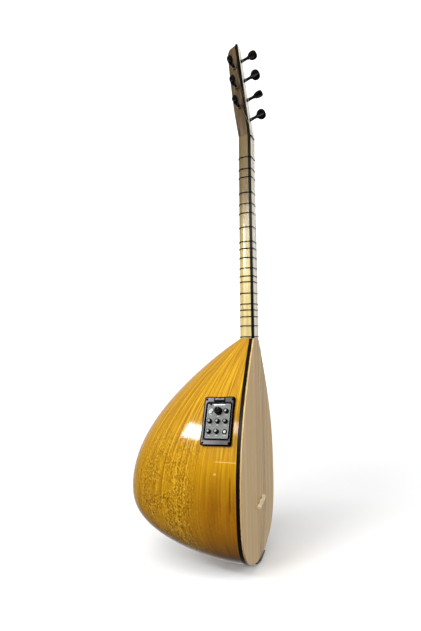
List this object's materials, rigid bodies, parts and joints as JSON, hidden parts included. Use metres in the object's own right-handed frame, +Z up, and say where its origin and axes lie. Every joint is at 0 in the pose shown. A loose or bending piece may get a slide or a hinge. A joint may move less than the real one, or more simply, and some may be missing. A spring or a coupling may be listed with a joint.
{
  "type": "short-neck baglama",
  "caption": "Short-neck baglama: deep rounded bowl, flat soundboard, tied frets, turning pegs, steel strings and a hinged preamp panel in its side.",
  "frame": {"origin": "middle of the flat underside of the string holder at the tail, in the front plane of the soundboard", "axes": "+Z up the neck, +Y from the soundboard back through the bowl, +X to the side away from the preamp and the side pegs"},
  "size_m": [0.2644, 0.2739, 0.9656],
  "materials": {
    "bowl_wood": "glossy lacquer",
    "spruce": "satin lacquer",
    "black_wood": "satin",
    "neck_wood": "glossy lacquer",
    "head_wood": "glossy lacquer",
    "face_wood": "satin lacquer",
    "bridge_wood": "satin",
    "peg_black": "polished",
    "fret_line": "matte nylon line",
    "steel": "drawn wire",
    "jack_steel": "plated",
    "dark_plastic": "satin",
    "grey_plastic": "satin",
    "black_plastic": "satin",
    "white_plastic": "satin",
    "battery_skin": "wrapped"
  },
  "bodies": {
    "root": {"bowl": "bowl_wood", "soundboard": "spruce", "rim_band": "black_wood", "string_holder": "black_wood", "binding_bass": "black_wood", "binding_treble": "black_wood", "nut": "black_wood", "neck": "neck_wood", "headstock": "head_wood", "fingerboard": "face_wood", "bridge": "bridge_wood", "fret_01": "fret_line", "fret_02": "fret_line", "fret_03": "fret_line", "fret_04": "fret_line", "fret_05": "fret_line", "fret_06": "fret_line", "fret_07": "fret_line", "fret_08": "fret_line", "fret_09": "fret_line", "fret_10": "fret_line", "fret_11": "fret_line", "fret_12": "fret_line", "fret_13": "fret_line", "fret_14": "fret_line", "fret_15": "fret_line", "fret_16": "fret_line", "fret_17": "fret_line", "fret_18": "fret_line", "fret_19": "fret_line", "string_1": "steel", "string_2": "steel", "string_3": "steel", "string_4": "steel", "string_5": "steel", "string_6": "steel", "string_7": "steel", "output_jack": "jack_steel", "preamp_frame": "dark_plastic"},
    "front_peg_1_body": {"front_peg_1": "peg_black"},
    "front_peg_2_body": {"front_peg_2": "peg_black"},
    "front_peg_3_body": {"front_peg_3": "peg_black"},
    "front_peg_4_body": {"front_peg_4": "peg_black"},
    "side_peg_1_body": {"side_peg_1": "peg_black"},
    "side_peg_2_body": {"side_peg_2": "peg_black"},
    "side_peg_3_body": {"side_peg_3": "peg_black"},
    "panel_body": {"control_panel": "grey_plastic", "battery": "battery_skin", "display_window": "white_plastic"},
    "volume_knob_body": {"volume_knob": "black_plastic"},
    "gain_knob_body": {"gain_knob": "black_plastic"},
    "bass_knob_body": {"bass_knob": "black_plastic"},
    "middle_knob_body": {"middle_knob": "black_plastic"},
    "treble_knob_body": {"treble_knob": "black_plastic"},
    "presence_knob_body": {"presence_knob": "black_plastic"},
    "blend_knob_body": {"blend_knob": "black_plastic"},
    "mute_button_body": {"mute_button": "white_plastic"},
    "notch_button_body": {"notch_button": "white_plastic"},
    "tuner_button_body": {"tuner_button": "black_plastic"},
    "latch_body": {"door_latch": "black_plastic"}
  },
  "joints": [
    {"name": "front_peg_1_turn", "type": "hinge", "parent": "root", "child": "front_peg_1_body", "pos_m": [0, 0.00392, 0.82163], "axis": [0, -0.9323, 0.3616], "continuous": true},
    {"name": "front_peg_2_turn", "type": "hinge", "parent": "root", "child": "front_peg_2_body", "pos_m": [0, 0.00872, 0.85962], "axis": [0, -0.9323, 0.3616], "continuous": true},
    {"name": "front_peg_3_turn", "type": "hinge", "parent": "root", "child": "front_peg_3_body", "pos_m": [0, 0.01352, 0.89763], "axis": [0, -0.9323, 0.3616], "continuous": true},
    {"name": "front_peg_4_turn", "type": "hinge", "parent": "root", "child": "front_peg_4_body", "pos_m": [0, 0.01832, 0.93563], "axis": [0, -0.9323, 0.3616], "continuous": true},
    {"name": "side_peg_1_turn", "type": "hinge", "parent": "root", "child": "side_peg_1_body", "pos_m": [-0.01367, 0.02022, 0.84366], "axis": [-0.9857, 0.0197, 0.1676], "continuous": true},
    {"name": "side_peg_2_turn", "type": "hinge", "parent": "root", "child": "side_peg_2_body", "pos_m": [-0.01307, 0.02467, 0.88167], "axis": [-0.9857, 0.0197, 0.1676], "continuous": true},
    {"name": "side_peg_3_turn", "type": "hinge", "parent": "root", "child": "side_peg_3_body", "pos_m": [-0.01247, 0.02877, 0.91966], "axis": [-0.9857, 0.0197, 0.1676], "continuous": true},
    {"name": "panel_hinge", "type": "hinge", "parent": "root", "child": "panel_body", "pos_m": [-0.11569, 0.04623, 0.24322], "axis": [-0.0863, -0.9955, 0.039], "range_deg": [0, 60]},
    {"name": "volume_knob_turn", "type": "hinge", "parent": "panel_body", "child": "volume_knob_body", "pos_m": [-0.09707, 0.04637, 0.28803], "axis": [-0.9071, 0.0948, 0.4101], "range_deg": [-150, 150]},
    {"name": "gain_knob_turn", "type": "hinge", "parent": "panel_body", "child": "gain_knob_body", "pos_m": [-0.09831, 0.03213, 0.28859], "axis": [-0.9071, 0.0948, 0.4101], "range_deg": [-150, 150]},
    {"name": "bass_knob_turn", "type": "hinge", "parent": "panel_body", "child": "bass_knob_body", "pos_m": [-0.10317, 0.06061, 0.27125], "axis": [-0.9071, 0.0948, 0.4101], "range_deg": [-150, 150]},
    {"name": "middle_knob_turn", "type": "hinge", "parent": "panel_body", "child": "middle_knob_body", "pos_m": [-0.1044, 0.04637, 0.27181], "axis": [-0.9071, 0.0948, 0.4101], "range_deg": [-150, 150]},
    {"name": "treble_knob_turn", "type": "hinge", "parent": "panel_body", "child": "treble_knob_body", "pos_m": [-0.10564, 0.03213, 0.27237], "axis": [-0.9071, 0.0948, 0.4101], "range_deg": [-150, 150]},
    {"name": "presence_knob_turn", "type": "hinge", "parent": "panel_body", "child": "presence_knob_body", "pos_m": [-0.1105, 0.06061, 0.25503], "axis": [-0.9071, 0.0948, 0.4101], "range_deg": [-150, 150]},
    {"name": "blend_knob_turn", "type": "hinge", "parent": "panel_body", "child": "blend_knob_body", "pos_m": [-0.11174, 0.04637, 0.25559], "axis": [-0.9071, 0.0948, 0.4101], "range_deg": [-150, 150]},
    {"name": "mute_button_press", "type": "slide", "parent": "panel_body", "child": "mute_button_body", "axis": [0.9071, -0.0948, -0.4101], "range_m": [0, 0.001], "stiffness_N_per_m": 250, "springref_m": -0.0002},
    {"name": "notch_button_press", "type": "slide", "parent": "panel_body", "child": "notch_button_body", "axis": [0.9071, -0.0948, -0.4101], "range_m": [0, 0.001], "stiffness_N_per_m": 250, "springref_m": -0.0002},
    {"name": "tuner_button_press", "type": "slide", "parent": "panel_body", "child": "tuner_button_body", "axis": [0.9071, -0.0948, -0.4101], "range_m": [0, 0.001], "stiffness_N_per_m": 250, "springref_m": -0.0002},
    {"name": "latch_slide", "type": "slide", "parent": "root", "child": "latch_body", "axis": [0.412, 0, 0.9112], "range_m": [0, 0.0015], "stiffness_N_per_m": 200, "springref_m": -0.0004}
  ]
}
